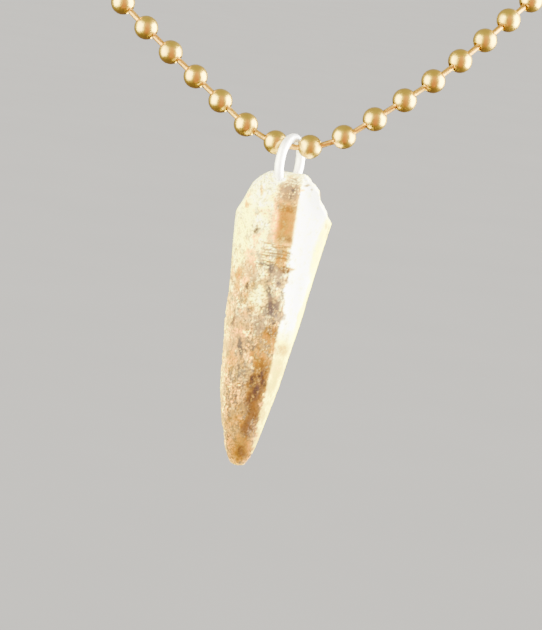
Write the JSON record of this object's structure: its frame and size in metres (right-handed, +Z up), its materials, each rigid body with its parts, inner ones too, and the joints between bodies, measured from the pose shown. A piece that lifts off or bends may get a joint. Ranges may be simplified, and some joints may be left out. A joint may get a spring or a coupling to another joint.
{
  "type": "alligator claw necklace",
  "caption": "Single reptile claw pendant on a round jump ring, hung from a continuous ball chain loop that hangs as worn, with a plain snap sleeve at the nape.",
  "frame": {"origin": "the nape: the middle of the clasp, at the back of the loop, where a neck or a peg carries it", "axes": "+Z up as worn, -Y towards the front where the claw hangs, +X to the right as seen from the front"},
  "size_m": [0.1182, 0.1275, 0.1321],
  "materials": {
    "claw": "weathered claw horn over bone: cream and tan, mottled and pitted, with one smooth pale flank",
    "silver_wire": "bright silver-coloured wire",
    "chain_brass": "satin antique gold beads with darker, coppery links",
    "clasp_brass": "satin antique gold sheet"
  },
  "bodies": {
    "chain": {"chain_left": "chain_brass", "chain_right": "chain_brass", "clasp": "clasp_brass"},
    "pendant": {"jump_ring": "silver_wire", "claw": "claw"}
  },
  "joints": [
    {"name": "pendant_swing", "type": "hinge", "parent": "chain", "child": "pendant", "pos_m": [0.00028, -0.12262, -0.0983], "axis": [0.9774, -0.2107, 0.0175], "range_deg": [-90, 90]}
  ]
}
